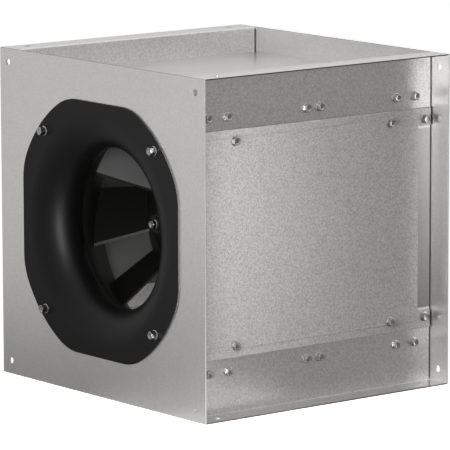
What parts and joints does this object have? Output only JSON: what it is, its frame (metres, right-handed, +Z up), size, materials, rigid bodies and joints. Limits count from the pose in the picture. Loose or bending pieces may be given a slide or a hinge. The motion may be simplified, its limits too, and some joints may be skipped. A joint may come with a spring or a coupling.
{
  "type": "inline duct blower",
  "caption": "Square inline duct blower: galvanised box with recessed sides, black bellmouth inlet, mixed-flow wheel on a direct-drive motor and an open framed outlet.",
  "frame": {"origin": "centre of the underside of the whole envelope, bolt heads included, on the plane of the bottom rails", "axes": "+Y downstream, from the inlet plate to the outlet frame; +Z up; +X to the right when looking downstream"},
  "size_m": [0.483, 0.46, 0.483],
  "materials": {
    "galvanised_sheet": "hot-dip galvanised sheet with a fine spangle",
    "galvanised_rails": "hot-dip galvanised sheet with a fine spangle",
    "galvanised_panels": "hot-dip galvanised sheet with a coarser spangle",
    "zinc_fasteners": "bright zinc plate",
    "black_paint": "satin black powder coat",
    "dark_wheel_paint": "satin dark grey paint",
    "cast_bushing": "machined casting",
    "ground_shaft": "ground steel",
    "motor_paint": "dark grey paint",
    "motor_bells": "die-cast aluminium",
    "rubber": "black rubber"
  },
  "bodies": {
    "casing": {"access_panel_left": "galvanised_panels", "access_panel_right": "galvanised_panels", "bell_bolts": "zinc_fasteners", "bell_nuts": "zinc_fasteners", "bottom_pan": "galvanised_sheet", "cross_channel_bottom": "galvanised_sheet", "cross_channel_top": "galvanised_sheet", "inlet_bell": "black_paint", "inlet_plate": "galvanised_sheet", "isolator_bolts": "zinc_fasteners", "isolator_nuts": "zinc_fasteners", "motor_back_bell": "motor_bells", "motor_body": "motor_paint", "motor_front_bell": "motor_bells", "motor_isolators": "rubber", "motor_plate": "galvanised_sheet", "outlet_frame": "galvanised_sheet", "panel_screws": "zinc_fasteners", "plate_bolts": "zinc_fasteners", "post_back_left": "galvanised_sheet", "post_back_right": "galvanised_sheet", "post_front_left": "galvanised_sheet", "post_front_right": "galvanised_sheet", "rail_bottom_left": "galvanised_rails", "rail_bottom_right": "galvanised_rails", "rail_screws": "zinc_fasteners", "rail_top_left": "galvanised_rails", "rail_top_right": "galvanised_rails", "top_pan": "galvanised_sheet", "wiring_grommet": "rubber"},
    "wheel": {"wheel_shroud": "dark_wheel_paint", "wheel_hub_cone": "dark_wheel_paint", "wheel_blades": "dark_wheel_paint", "wheel_bushing": "cast_bushing", "bushing_set_screw": "zinc_fasteners", "retaining_washer": "dark_wheel_paint", "retaining_bolt": "zinc_fasteners", "motor_shaft": "ground_shaft"}
  },
  "joints": [
    {"name": "wheel_spin", "type": "hinge", "parent": "casing", "child": "wheel", "pos_m": [0, 0.006, 0.2415], "axis": [0, -1, 0], "continuous": true}
  ]
}
